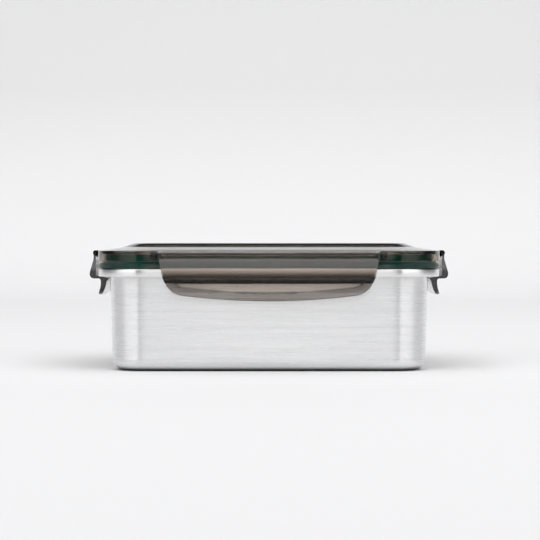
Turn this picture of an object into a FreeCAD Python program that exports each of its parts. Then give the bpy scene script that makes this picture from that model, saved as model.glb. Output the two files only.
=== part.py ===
import FreeCAD, Part
import math
import os
import re
import Sketcher

# Lunch box: a drawn steel container, a clear lid with a seal, and four snap-lock latches on hinge pins.
# The origin is on the table under the middle of the box, X runs along the box, -Y is the front, Z is up.

# Driving sizes in millimetres
SIZES = {
    # container
    "box_length": 179.0,  # outside of the steel wall at its mouth
    "box_width": 125.0,
    "box_height": 57.0,  # table to the top of the flange
    "corner_radius": 19.0,
    "wall_draft": 1.5,  # how far each wall leans in by the base
    "base_radius": 7.0,
    "sheet": 0.8,
    "mouth_radius": 2.4,
    "rim_reach": 6.7,  # flange beyond the wall
    "rim_drop": 4.4,
    "rim_thickness": 1.8,
    "rim_round": 0.85,
    # lid
    "lid_edge_height": 10.0,  # flange to the lid's outer edge
    "skirt_gap": 0.4,
    "skirt_wall": 2.0,
    "skirt_bevel": 1.2,
    "shoulder_run": 13.4,
    "shoulder_rise": 2.1,
    "plateau_run": 6.8,
    "plateau_rise": 2.1,
    "plateau_corner": 20.0,
    "plateau_round": 6.0,
    "edge_round": 0.7,
    "top_wall": 2.0,
    "plug_gap": 0.6,
    "plug_wall": 1.9,
    "plug_drop": 3.8,
    # seal
    "seal_height": 4.2,
    "seal_gap": 0.1,
    "tongue_inset": 4.0,
    "tongue_slot": 2.2,
    "tongue_height": 4.0,
    "seal_groove": 1.0,
    "seal_groove_depth": 1.2,
    # hinges
    "axis_out": 1.9,  # hinge axis beyond the lid's skirt
    "axis_drop": 1.3,  # hinge axis below the lid's outer edge
    "knuckle_radius": 1.5,
    "pin_radius": 0.75,
    "pin_gap": 0.06,
    "pin_chamfer": 0.2,
    "lug_length": 3.2,
    "lug_gap": 0.3,
    "lug_gusset": 1.9,
    "edge_relief": 1.6,
    # latches
    "long_span": 123.0,
    "short_span": 71.0,
    "span_taper": 3.2,
    "plate_gap": 0.3,  # plate beyond the hinge axis
    "plate_straight": 3.5,
    "bulge_out": 3.9,
    "bulge_band": 1.0,
    "bulge_round": 2.4,
    "hook_gap": 0.3,
    "hook_reach": 5.1,  # hook under the rim
    "hook_slope": 0.2,
    "hook_thickness": 1.2,
    "hook_tip": 0.9,
    "crease_round": 1.4,
    "lip_set_in": 0.4,
    "lip_root": 3.3,
    "lip_flare": 3.6,
    "lip_edge": 1.3,
    "lip_outer_curve": 14.0,
    "lip_inner_curve": 15.0,
    "lip_corner": 12.5,
    "lip_bow": 390.0,
    "long_lip_drop": 13.2,  # rim's foot to the latch's lowest edge
    "short_lip_drop": 11.4,
    "trim_margin": 1.0,
}

# Heights and half lengths that several pieces share, worked out from the sizes
RIM_X = "(box_length / 2 + rim_reach)"
RIM_Y = "(box_width / 2 + rim_reach)"
RIM_CORNER = "(corner_radius + rim_reach)"
RIM_FOOT = "(box_height - rim_drop)"
SEAL_TOP = "(box_height + seal_height)"
LID_EDGE = "(box_height + lid_edge_height)"
PLATEAU_FOOT = f"({LID_EDGE} + shoulder_rise)"
PLATEAU_TOP = f"({PLATEAU_FOOT} + plateau_rise)"
PLUG_INSET = "(rim_reach + sheet + plug_gap)"
AXIS_Z = f"({LID_EDGE} - axis_drop)"
RIM_DEPTH = "(lid_edge_height - axis_drop + rim_drop)"

# How near its ring line an edge or face has to lie to count as part of it
NEAR = 1e-4

doc = FreeCAD.newDocument("LunchBox")
sheet = doc.addObject("Spreadsheet::Sheet", "Sizes")
for row, (name, size) in enumerate(SIZES.items(), start=1):
    sheet.set(f"A{row}", name)
    sheet.set(f"B{row}", str(size))
    sheet.setAlias(f"B{row}", name)
doc.recompute()


def bound(text):
    """The expression with each size's name pointing at its cell."""
    return re.sub(r"[a-z]\w*", lambda found: "Sizes." + found.group(), text)


def value(text):
    """What an expression is worth now."""
    return float(sheet.evalExpression(bound(text)))


def new_body(label, across="0", along="0", up="0", turn=0):
    """An empty body set at a place, turned about Z by a number of degrees."""
    body = doc.addObject("PartDesign::Body", label)
    body.Label = label
    body.Placement.Rotation = FreeCAD.Rotation(FreeCAD.Vector(0, 0, 1), turn)
    body.setExpression("Placement.Base.x", bound(across))
    body.setExpression("Placement.Base.y", bound(along))
    body.setExpression("Placement.Base.z", bound(up))
    return body


def new_sketch(body, name, role, offset="0"):
    """A sketch on one of the body's own origin planes, moved along that plane's normal."""
    sketch = body.newObject("Sketcher::SketchObject", f"{body.Label}_{name}")
    plane = next(f for f in body.Origin.OriginFeatures if f.Role == role)
    sketch.AttachmentSupport = [(plane, "")]
    sketch.MapMode = "FlatFace"
    sketch.setExpression("AttachmentOffset.Base.z", bound(offset))
    return sketch


def constrain(sketch, kind, *where, size):
    """A dimension whose value follows an expression."""
    index = sketch.addConstraint(Sketcher.Constraint(kind, *where, value(size)))
    sketch.setExpression(f"Constraints[{index}]", bound(size))


def place_point(sketch, geometry, end, across, up):
    """Holds one end of a sketch element at a distance from the sketch's origin."""
    constrain(sketch, "DistanceX", -1, 1, geometry, end, size=across)
    constrain(sketch, "DistanceY", -1, 1, geometry, end, size=up)


def add_rounded(sketch, half_x, half_y, radius):
    """A rectangle with round corners, centred on the sketch's origin."""
    x, y, r = value(half_x), value(half_y), value(radius)
    arcs, lines = [], []
    for quarter in range(4):
        sign_x = 1 if quarter in (0, 3) else -1
        sign_y = 1 if quarter in (0, 1) else -1
        centre = FreeCAD.Vector(sign_x * (x - r), sign_y * (y - r))
        circle = Part.Circle(centre, FreeCAD.Vector(0, 0, 1), r)
        start = quarter * math.pi / 2
        arcs.append(sketch.addGeometry(Part.ArcOfCircle(circle, start, start + math.pi / 2)))
    for quarter in range(4):
        begin = sketch.Geometry[arcs[quarter]].EndPoint
        finish = sketch.Geometry[arcs[(quarter + 1) % 4]].StartPoint
        lines.append(sketch.addGeometry(Part.LineSegment(begin, finish)))
    for quarter in range(4):
        sketch.addConstraint(Sketcher.Constraint("Tangent", arcs[quarter], 2, lines[quarter], 1))
        sketch.addConstraint(Sketcher.Constraint("Tangent", lines[quarter], 2, arcs[(quarter + 1) % 4], 1))
        direction = "Vertical" if quarter % 2 else "Horizontal"
        sketch.addConstraint(Sketcher.Constraint(direction, lines[quarter]))
    for other in arcs[1:]:
        sketch.addConstraint(Sketcher.Constraint("Equal", arcs[0], other))
    sketch.addConstraint(Sketcher.Constraint("Symmetric", arcs[0], 3, arcs[2], 3, -1, 1))
    constrain(sketch, "DistanceX", -1, 1, lines[3], 1, size=half_x)
    constrain(sketch, "DistanceY", -1, 1, lines[0], 1, size=half_y)
    constrain(sketch, "Radius", arcs[0], size=radius)


def add_ring_line(sketch, inset, corner=None):
    """The rim's outline moved inwards. Every ring of the box, lid and seal is one of these."""
    corner = corner or f"{RIM_CORNER} - ({inset})"
    add_rounded(sketch, f"{RIM_X} - ({inset})", f"{RIM_Y} - ({inset})", corner)


def add_circle(sketch, across, up, radius):
    """A full circle held at a place."""
    centre = FreeCAD.Vector(value(across), value(up))
    circle = sketch.addGeometry(Part.Circle(centre, FreeCAD.Vector(0, 0, 1), value(radius)))
    place_point(sketch, circle, 3, across, up)
    constrain(sketch, "Radius", circle, size=radius)


def arc_between(begin, finish, radius):
    """The smaller arc between two points. A positive radius turns left on the way, a negative one right."""
    chord = finish - begin
    left = FreeCAD.Vector(-chord.y, chord.x).normalize()
    rise = math.sqrt(max(radius * radius - chord.Length ** 2 / 4, 0))
    centre = (begin + finish) / 2 + left * math.copysign(rise, radius)
    circle = Part.Circle(centre, FreeCAD.Vector(0, 0, 1), abs(radius))
    first, last = (begin, finish) if radius > 0 else (finish, begin)
    angles = [math.atan2(p.y - centre.y, p.x - centre.x) for p in (first, last)]
    return Part.ArcOfCircle(circle, *angles)


def add_profile(sketch, corners, side=1):
    """A closed outline. A corner is its place across and up and, where an arc leads on from it, that
    arc's turn, 1 left or -1 right, and radius. A side of -1 mirrors the outline."""
    points = [FreeCAD.Vector(side * value(c[0]), value(c[1])) for c in corners]
    ends = []
    for index, corner in enumerate(corners):
        finish = points[(index + 1) % len(points)]
        if len(corner) == 2:
            geometry = sketch.addGeometry(Part.LineSegment(points[index], finish))
            ends.append((geometry, 1, 2))
            continue
        turn = side * corner[2]
        geometry = sketch.addGeometry(arc_between(points[index], finish, turn * value(corner[3])))
        ends.append((geometry, 1, 2) if turn > 0 else (geometry, 2, 1))
    for index, (geometry, _, last) in enumerate(ends):
        following, start, _ = ends[(index + 1) % len(ends)]
        sketch.addConstraint(Sketcher.Constraint("Coincident", geometry, last, following, start))
    for (geometry, first, _), corner in zip(ends, corners):
        place_point(sketch, geometry, first, f"{side} * ({corner[0]})", corner[1])
        if len(corner) == 4:
            constrain(sketch, "Radius", geometry, size=corner[3])


def add_feature(body, kind, name, sketch, length=None, symmetric=False, backwards=False):
    """A pad or pocket from a sketch. A pocket runs against the sketch's normal unless it goes backwards."""
    feature = body.newObject(f"PartDesign::{kind}", f"{body.Label}_{name}")
    feature.Profile = sketch
    feature.Reversed = backwards
    feature.Refine = True
    if symmetric:
        feature.SideType = "Symmetric"
    if length is None:
        feature.Type = "ThroughAll"
    else:
        feature.setExpression("Length", bound(length))
    return feature


def add_ring(body, kind, name, low, high, *insets):
    """Adds or cuts the layer between two heights, inside one ring line or between two of them."""
    sketch = new_sketch(body, f"{name}_outline", "XY_Plane", low)
    for inset in insets:
        add_ring_line(sketch, inset)
    return add_feature(body, kind, name, sketch, f"{high} - {low}", backwards=kind == "Pocket")


def add_loft(body, kind, name, low, low_line, high, high_line):
    """Adds or cuts a straight-sided body between ring lines at two heights."""
    sketches = []
    for level, height, line in (("low", low, low_line), ("high", high, high_line)):
        sketch = new_sketch(body, f"{name}_{level}", "XY_Plane", height)
        add_ring_line(sketch, *line)
        sketches.append(sketch)
    loft = body.newObject(f"PartDesign::{kind}", f"{body.Label}_{name}")
    loft.Profile = sketches[0]
    loft.Sections = [sketches[1]]
    loft.Ruled = True
    loft.Refine = True
    return loft


def ring_edges(body, height, inset):
    """Names of the straight edges on a ring line at one height. The round corners follow from them."""
    doc.recompute()
    level, reach_x, reach_y = value(height), value(f"{RIM_X} - ({inset})"), value(f"{RIM_Y} - ({inset})")
    names = []
    for number, edge in enumerate(body.Tip.Shape.Edges, start=1):
        middle = edge.CenterOfMass
        flat = all(abs(v.Z - level) < NEAR for v in edge.Vertexes)
        on_end = abs(abs(middle.x) - reach_x) < NEAR
        on_side = abs(abs(middle.y) - reach_y) < NEAR
        if flat and (on_end or on_side):
            names.append(f"Edge{number}")
    return names


def add_round(body, name, radius, *rings):
    """Rounds the edges on some ring lines, each given by its height and inset."""
    names = [edge for height, inset in rings for edge in ring_edges(body, height, inset)]
    fillet = body.newObject("PartDesign::Fillet", f"{body.Label}_{name}")
    fillet.Base = (body.Group[-2], names)
    fillet.setExpression("Radius", bound(radius))
    doc.recompute()


def add_draft(body, name, inset, outwards):
    """Leans the upright faces on a ring line about the table plane, so that they open towards the mouth."""
    doc.recompute()
    reach_x, reach_y = value(f"{RIM_X} - ({inset})"), value(f"{RIM_Y} - ({inset})")
    corner = value(f"{RIM_CORNER} - ({inset})")
    names = []
    for number, face in enumerate(body.Tip.Shape.Faces, start=1):
        middle = face.CenterOfMass
        flat = isinstance(face.Surface, Part.Plane)
        on_end = flat and abs(abs(middle.x) - reach_x) < NEAR
        on_side = flat and abs(abs(middle.y) - reach_y) < NEAR
        round_corner = isinstance(face.Surface, Part.Cylinder) and abs(face.Surface.Radius - corner) < NEAR
        if on_end or on_side or round_corner:
            names.append(f"Face{number}")
    draft = body.newObject("PartDesign::Draft", f"{body.Label}_{name}")
    draft.Base = (body.Group[-2], names)
    table = next(f for f in body.Origin.OriginFeatures if f.Role == "XY_Plane")
    draft.NeutralPlane = (table, [""])
    draft.Reversed = outwards
    draft.setExpression("Angle", f"atan({bound('wall_draft / box_height')})")
    doc.recompute()


def make_container():
    """Drawn box with leaning walls, a flange round its mouth and a folded rim hanging from the flange."""
    body = new_body("container")
    foot_inset = "rim_reach + wall_draft"
    inner_inset = "rim_reach + sheet + wall_draft"
    floor_inset = "rim_reach + sheet + wall_draft * (1 - sheet / box_height)"
    mouth_inset = "rim_reach + sheet"
    neck_inset = "rim_reach + wall_draft * sheet / box_height"
    add_ring(body, "Pad", "rim_block", RIM_FOOT, "box_height", "0")
    add_ring(body, "Pocket", "under_flange", RIM_FOOT, "(box_height - sheet)", "rim_thickness")
    add_ring(body, "Pad", "walls", "0", "(box_height - sheet / 2)", foot_inset)
    add_draft(body, "wall_draft", foot_inset, outwards=True)
    add_ring(body, "Pocket", "food_space", "sheet", "box_height", inner_inset)
    add_draft(body, "inner_draft", inner_inset, outwards=False)
    add_round(body, "floor_round", "base_radius - sheet", ("sheet", floor_inset))
    add_round(body, "base_round", "base_radius", ("0", foot_inset))
    add_round(body, "neck_round", "mouth_radius - sheet", ("box_height - sheet", neck_inset))
    add_round(body, "mouth_round", "mouth_radius", ("box_height", mouth_inset))
    rim_edges = [(RIM_FOOT, "0"), (RIM_FOOT, "rim_thickness"), ("box_height", "0")]
    add_round(body, "rim_round", "rim_round", *rim_edges)
    return body


def add_hinge_lugs(body, name, role, reach, span):
    """Two lugs on each of two opposite sides of the lid, a relieved edge between them, and their bore.
    The sketch plane is square to the hinge axis."""
    axis = f"{reach} + axis_out"
    low, high = f"{AXIS_Z} - knuckle_radius", f"{AXIS_Z} + knuckle_radius"
    bars = new_sketch(body, f"{name}_bars", role)
    gaps = new_sketch(body, f"{name}_gaps", role)
    bores = new_sketch(body, f"{name}_bores", role)
    bar = [
        (f"{reach} - skirt_wall / 2", f"{low} - lug_gusset"),
        (f"{reach}", f"{low} - lug_gusset"),
        (axis, low, 1, "knuckle_radius"),
        (f"{axis} + knuckle_radius", AXIS_Z, 1, "knuckle_radius"),
        (axis, high),
        (f"{reach} - skirt_wall / 2", high),
    ]
    far = f"{axis} + 2 * knuckle_radius"
    gap = [
        (reach, f"{low} - lug_gusset - trim_margin"),
        (far, f"{low} - lug_gusset - trim_margin"),
        (far, f"{high} + trim_margin"),
        (f"{reach} - edge_relief", f"{high} + trim_margin"),
        (f"{reach} - edge_relief", LID_EDGE),
        (reach, f"{LID_EDGE} - edge_relief"),
    ]
    for side in (1, -1):
        add_profile(bars, bar, side)
        add_profile(gaps, gap, side)
        add_circle(bores, f"{side} * ({axis})", AXIS_Z, "pin_radius + pin_gap")
    full = f"{span} + 2 * (lug_gap + lug_length)"
    add_feature(body, "Pad", f"{name}_lugs", bars, full, symmetric=True)
    add_feature(body, "Pocket", f"{name}_latch_gap", gaps, f"{span} + 2 * lug_gap", symmetric=True)
    add_feature(body, "Pocket", f"{name}_pin_bore", bores, f"{full} + trim_margin", symmetric=True)


def make_lid():
    """Clear lid with a bevelled skirt, sloping shoulder, plateau, plug wall, seal channel and hinge lugs."""
    body = new_body("lid")
    skirt_foot = "(box_height + skirt_gap)"
    plug_foot = "(box_height - plug_drop)"
    hollow_inset = f"{PLUG_INSET} + plug_wall"
    hollow_top = f"({PLATEAU_FOOT} - top_wall)"
    plateau = ["shoulder_run", "plateau_corner"]
    plateau_top = ["shoulder_run + plateau_run", "plateau_corner - plateau_run"]
    add_loft(body, "AdditiveLoft", "bevel", skirt_foot, ["skirt_bevel"], SEAL_TOP, ["0"])
    add_ring(body, "Pad", "skirt", SEAL_TOP, LID_EDGE, "0")
    add_loft(body, "AdditiveLoft", "shoulder", LID_EDGE, ["0"], PLATEAU_FOOT, plateau)
    add_loft(body, "AdditiveLoft", "plateau", PLATEAU_FOOT, plateau, PLATEAU_TOP, plateau_top)
    add_ring(body, "Pad", "plug", plug_foot, SEAL_TOP, PLUG_INSET)
    plateau_edges = [(PLATEAU_FOOT, plateau[0]), (PLATEAU_TOP, plateau_top[0])]
    add_round(body, "plateau_round", "plateau_round", *plateau_edges)
    add_round(body, "edge_round", "edge_round", (LID_EDGE, "0"))
    add_ring(body, "Pocket", "hollow", plug_foot, hollow_top, hollow_inset)
    under = ["shoulder_run + top_wall", "plateau_corner - top_wall"]
    upper_top = f"{PLATEAU_TOP} - top_wall"
    add_loft(body, "SubtractiveLoft", "upper_hollow", hollow_top, under, upper_top, plateau_top)
    add_ring(body, "Pocket", "seal_channel", skirt_foot, SEAL_TOP, "skirt_wall", PLUG_INSET)
    slot = ["tongue_inset", "tongue_inset + tongue_slot"]
    add_ring(body, "Pocket", "tongue_slot", SEAL_TOP, f"{SEAL_TOP} + tongue_height", *slot)
    add_hinge_lugs(body, "long", "YZ_Plane", RIM_Y, "long_span")
    add_hinge_lugs(body, "short", "XZ_Plane", RIM_X, "short_span")
    return body


def make_seal():
    """Silicone ring with a broad foot on the flange, a tongue in the lid's slot and a groove between lips."""
    body = new_body("seal_ring")
    outer, inner = "skirt_wall + seal_gap", f"{PLUG_INSET} - seal_gap"
    add_ring(body, "Pad", "foot", "box_height", SEAL_TOP, outer, inner)
    tongue = ["tongue_inset + seal_gap", "tongue_inset + tongue_slot - seal_gap"]
    add_ring(body, "Pad", "tongue", SEAL_TOP, f"{SEAL_TOP} + tongue_height - seal_gap", *tongue)
    groove = ["tongue_inset", "tongue_inset + seal_groove"]
    add_ring(body, "Pocket", "groove", "box_height", "box_height + seal_groove_depth", *groove)
    return body


def latch_section():
    """The latch cut square to its hinge: a wedge plate that thickens into a bulge, a hook that slopes away
    under the rim and a lip that curves out for the finger. Across is outwards from the hinge axis."""
    shelf = f"-({RIM_DEPTH} + hook_gap)"
    under = f"({shelf} - hook_thickness)"
    bulge_low = f"({under} + bulge_round)"
    crease = "(-axis_out - lip_set_in)"
    tip = "(-axis_out - hook_reach)"
    tip_top = f"({shelf} - hook_slope * hook_reach)"
    lip_low = f"-({RIM_DEPTH} + long_lip_drop + trim_margin)"
    return [
        ("plate_gap", "0"),
        ("knuckle_radius", "0"),
        ("knuckle_radius", "-plate_straight"),
        ("bulge_out", f"{bulge_low} + bulge_band"),
        ("bulge_out", bulge_low, -1, "bulge_round"),
        ("bulge_out - bulge_round", under),
        (f"{crease} + crease_round", under, 1, "crease_round"),
        (crease, f"{under} - crease_round", 1, "lip_outer_curve"),
        ("lip_flare", lip_low),
        ("lip_flare - lip_edge", lip_low, -1, "lip_inner_curve"),
        (f"{crease} - lip_root", f"{under} - crease_round"),
        (f"{tip} + hook_tip / 2", f"{tip_top} - hook_tip"),
        (tip, tip_top),
        ("plate_gap", f"{shelf} + hook_slope * (axis_out + plate_gap)"),
    ]


def add_latch_outline(sketch, span, drop):
    """The latch seen from outside: sides that lean in, round lower corners and a bowed lower edge."""
    half, top, depth = f"{span} / 2", "2 * knuckle_radius", f"({RIM_DEPTH} + {drop})"
    lean = (f"{half} - span_taper", f"-{RIM_DEPTH}")
    a, t, d, r, bow = (value(text) for text in (half, top, depth, "lip_corner", "lip_bow"))
    b, s = value(lean[0]), value(lean[1])
    corner_x, corner_y = b - r, r - d
    edge = sketch.addGeometry(Part.LineSegment(FreeCAD.Vector(-a, t), FreeCAD.Vector(a, t)))
    sides, corners = [], []
    for sign in (1, -1):
        centre = FreeCAD.Vector(sign * corner_x, corner_y)
        circle = Part.Circle(centre, FreeCAD.Vector(0, 0, 1), r)
        begin = -math.pi / 2 if sign > 0 else math.pi
        corners.append(sketch.addGeometry(Part.ArcOfCircle(circle, begin, begin + math.pi / 2)))
        foot = FreeCAD.Vector(sign * (corner_x + r), corner_y)
        sides.append(sketch.addGeometry(Part.LineSegment(FreeCAD.Vector(sign * a, t), foot)))
    bow_circle = Part.Circle(FreeCAD.Vector(0, bow - d), FreeCAD.Vector(0, 0, 1), bow)
    swing = math.asin(corner_x / bow)
    low = sketch.addGeometry(Part.ArcOfCircle(bow_circle, -math.pi / 2 - swing, -math.pi / 2 + swing))
    sketch.addConstraint(Sketcher.Constraint("Coincident", edge, 2, sides[0], 1))
    sketch.addConstraint(Sketcher.Constraint("Coincident", edge, 1, sides[1], 1))
    sketch.addConstraint(Sketcher.Constraint("Tangent", sides[0], 2, corners[0], 2))
    sketch.addConstraint(Sketcher.Constraint("Tangent", corners[0], 1, low, 2))
    sketch.addConstraint(Sketcher.Constraint("Tangent", low, 1, corners[1], 2))
    sketch.addConstraint(Sketcher.Constraint("Tangent", corners[1], 1, sides[1], 2))
    place_point(sketch, edge, 1, f"-{half}", top)
    place_point(sketch, edge, 2, half, top)
    for sign, side in zip((1, -1), sides):
        mark = sketch.addGeometry(Part.Point(FreeCAD.Vector(sign * b, s)), True)
        place_point(sketch, mark, 1, f"{sign} * ({lean[0]})", lean[1])
        sketch.addConstraint(Sketcher.Constraint("PointOnObject", mark, 1, side))
    for corner in corners:
        constrain(sketch, "Radius", corner, size="lip_corner")
    constrain(sketch, "Radius", low, size="lip_bow")
    place_point(sketch, low, 3, "0", f"lip_bow - {depth}")


def make_latch(label, span, drop, across, along, turn):
    """One latch, made about its hinge axis with outwards along its own Y."""
    body = new_body(label, across, along, AXIS_Z, turn)
    section = new_sketch(body, "section", "YZ_Plane")
    add_profile(section, latch_section())
    add_feature(body, "Pad", "plate", section, span, symmetric=True)
    knuckle = new_sketch(body, "knuckle_circle", "YZ_Plane")
    add_circle(knuckle, "0", "0", "knuckle_radius")
    add_feature(body, "Pad", "knuckle", knuckle, span, symmetric=True)
    bore = new_sketch(body, "bore_circle", "YZ_Plane")
    add_circle(bore, "0", "0", "pin_radius + pin_gap")
    add_feature(body, "Pocket", "pin_bore", bore, f"{span} + trim_margin", symmetric=True)
    outline = new_sketch(body, "outline", "XZ_Plane")
    add_latch_outline(outline, span, drop)
    frame_x, frame_z = f"{span} / 2 + trim_margin", f"{RIM_DEPTH} + long_lip_drop + 2 * trim_margin"
    add_rounded(outline, frame_x, frame_z, "trim_margin / 2")
    add_feature(body, "Pocket", "trim", outline, symmetric=True)
    return body


def make_pin(label, span, across, along, turn):
    """Plain steel pin with chamfered ends, flush with the lugs' outer faces."""
    body = new_body(label, across, along, AXIS_Z, turn)
    circle = new_sketch(body, "circle", "YZ_Plane")
    add_circle(circle, "0", "0", "pin_radius")
    pin = add_feature(body, "Pad", "shank", circle, f"{span} + 2 * (lug_gap + lug_length)", symmetric=True)
    doc.recompute()
    ends = [f"Edge{n}" for n, edge in enumerate(pin.Shape.Edges, start=1) if edge.isClosed()]
    chamfer = body.newObject("PartDesign::Chamfer", f"{label}_chamfer")
    chamfer.Base = (pin, ends)
    chamfer.setExpression("Size", bound("pin_chamfer"))
    return body


def make_hinges():
    """Four latches with their pins, one on each side of the lid."""
    side_y, side_x = f"{RIM_Y} + axis_out", f"{RIM_X} + axis_out"
    sides = (
        ("front", "long_span", "long_lip_drop", "0", f"-({side_y})", 180),
        ("back", "long_span", "long_lip_drop", "0", side_y, 0),
        ("left", "short_span", "short_lip_drop", f"-({side_x})", "0", 90),
        ("right", "short_span", "short_lip_drop", side_x, "0", -90),
    )
    bodies = []
    for side, span, drop, across, along, turn in sides:
        bodies.append(make_latch(f"{side}_latch", span, drop, across, along, turn))
        bodies.append(make_pin(f"{side}_hinge_pin", span, across, along, turn))
    return bodies


def check_and_write(bodies):
    """Stops on a failed feature or a bad solid, then writes one file for each body."""
    doc.recompute()
    failed = [o.Name for o in doc.Objects if "Invalid" in o.State or "Error" in o.State]
    if failed:
        raise RuntimeError(f"failed features: {failed}")
    for body in bodies:
        shape = body.Shape
        if shape.isNull() or not shape.isValid() or len(shape.Solids) != 1:
            raise RuntimeError(f"bad solid: {body.Label}")
    os.makedirs("parts", exist_ok=True)
    for body in bodies:
        body.Shape.exportStep(f"parts/{body.Label}.step")
        print(f"{body.Label}: {body.Shape.Volume:.0f} mm3")


check_and_write([make_container(), make_lid(), make_seal(), *make_hinges()])
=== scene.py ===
import math

import bmesh
import bpy
import numpy as np
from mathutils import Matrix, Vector


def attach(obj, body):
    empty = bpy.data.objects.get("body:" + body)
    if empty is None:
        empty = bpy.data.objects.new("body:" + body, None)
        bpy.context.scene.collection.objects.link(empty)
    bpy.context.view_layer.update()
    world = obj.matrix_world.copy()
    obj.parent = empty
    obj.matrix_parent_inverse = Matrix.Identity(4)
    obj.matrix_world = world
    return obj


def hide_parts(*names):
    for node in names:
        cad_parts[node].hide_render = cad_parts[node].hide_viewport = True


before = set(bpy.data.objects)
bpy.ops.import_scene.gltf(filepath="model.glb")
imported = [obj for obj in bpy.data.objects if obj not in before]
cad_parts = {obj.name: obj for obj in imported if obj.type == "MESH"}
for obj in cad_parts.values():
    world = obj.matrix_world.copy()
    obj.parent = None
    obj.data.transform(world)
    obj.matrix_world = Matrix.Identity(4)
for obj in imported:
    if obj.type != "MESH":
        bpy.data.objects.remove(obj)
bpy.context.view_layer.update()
scene = bpy.context.scene

# The container. A box drawn from one sheet of stainless steel, with a flange round its mouth whose edge is
# folded down into a rim. The walls are brushed along their length, and the rim is left polished.
MM = 0.001
RIM_HALF_X, RIM_HALF_Y, RIM_CORNER = 96.2, 69.2, 25.7
SHEET, BASE_RADIUS, WALL_LEAN, BOX_HEIGHT = 0.8, 7.0, 1.5, 57.0
RIM_REACH, RIM_FOOT, RIM_THICK, RIM_ROUND = 6.7, 52.6, 1.8, 0.85
RIM_BOW, BOW_ROUND, MOUTH_RADIUS = 0.25, 8.0, 2.4
FLAT_MIDDLE = 40


def softened(corners, steps=6):
    """A line through corner points, each rounded by its own radius. An arc meets both edges at the radius
    times the tangent of half the turn, and its points are the first one turned about the arc's centre.
    The two end points stay as they are."""
    corners = np.asarray(corners, float)
    spot, radius = corners[1:-1, :2], corners[1:-1, 2]
    step_in, step_out = spot - corners[:-2, :2], corners[2:, :2] - spot
    step_in /= np.linalg.norm(step_in, axis=1, keepdims=True)
    step_out /= np.linalg.norm(step_out, axis=1, keepdims=True)
    cross = step_in[:, 0] * step_out[:, 1] - step_in[:, 1] * step_out[:, 0]
    turn = np.arctan2(cross, (step_in * step_out).sum(1))
    begin = spot - step_in * (radius * np.tan(np.abs(turn) / 2))[:, None]
    left = np.stack([-step_in[:, 1], step_in[:, 0]], 1)
    centre = begin + left * (radius * np.sign(turn))[:, None]
    angle = turn[:, None] * np.linspace(0, 1, steps + 1)
    arm = (begin - centre)[:, None, :]
    arc = np.stack(
        [
            arm[..., 0] * np.cos(angle) - arm[..., 1] * np.sin(angle),
            arm[..., 0] * np.sin(angle) + arm[..., 1] * np.cos(angle),
        ],
        -1,
    )
    inner = (centre[:, None, :] + arc).reshape(-1, 2)
    return np.vstack([corners[:1, :2], inner, corners[-1:, :2]])


def rim_walk(long_stops, short_stops, corner_steps=18):
    """The way round the box. Four quarter turns, with straight runs between them that are cut at the given
    shares of their half length. Gives the share of the core rectangle in X and Y and the outward normal."""
    quarter = np.linspace(0, math.pi / 2, corner_steps + 1)
    share_x, share_y, angles = [], [], []
    for turn, (sign_x, sign_y) in enumerate(((1, 1), (-1, 1), (-1, -1), (1, -1))):
        stops = np.asarray(long_stops if turn % 2 == 0 else short_stops)
        run = np.concatenate([-stops[::-1], stops])[::-1] * (1 if turn < 2 else -1)
        share_x += [np.full(quarter.size, sign_x), run if turn % 2 == 0 else np.full(run.size, sign_x)]
        share_y += [np.full(quarter.size, sign_y), np.full(run.size, sign_y) if turn % 2 == 0 else run]
        angles += [turn * math.pi / 2 + quarter, np.full(run.size, (turn + 1) * math.pi / 2)]
    share_x, share_y, angles = (np.concatenate(part) for part in (share_x, share_y, angles))
    return share_x, share_y, np.cos(angles), np.sin(angles)


def carried_round(walk, inset, height, corner):
    """A profile carried round the box. A point set in from the rim by an inset lies at the core rectangle's
    corner share plus its own corner radius along the outward normal, at its own height."""
    share_x, share_y, normal_x, normal_y = (part[:, None] for part in walk)
    x = (RIM_HALF_X - inset - corner) * share_x + corner * normal_x
    y = (RIM_HALF_Y - inset - corner) * share_y + corner * normal_y
    return np.stack([x, y, np.broadcast_to(height, x.shape)], -1) * MM


def closed_over(skin):
    """A skin with its first and last lines each drawn in to a point on the upright axis."""
    middle = skin.mean(0, keepdims=True)[:, [0, -1]] * [0, 0, 1]
    middle = np.broadcast_to(middle, (len(skin), 2, 3))
    return np.concatenate([middle[:, :1], skin, middle[:, 1:]], 1)


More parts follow.
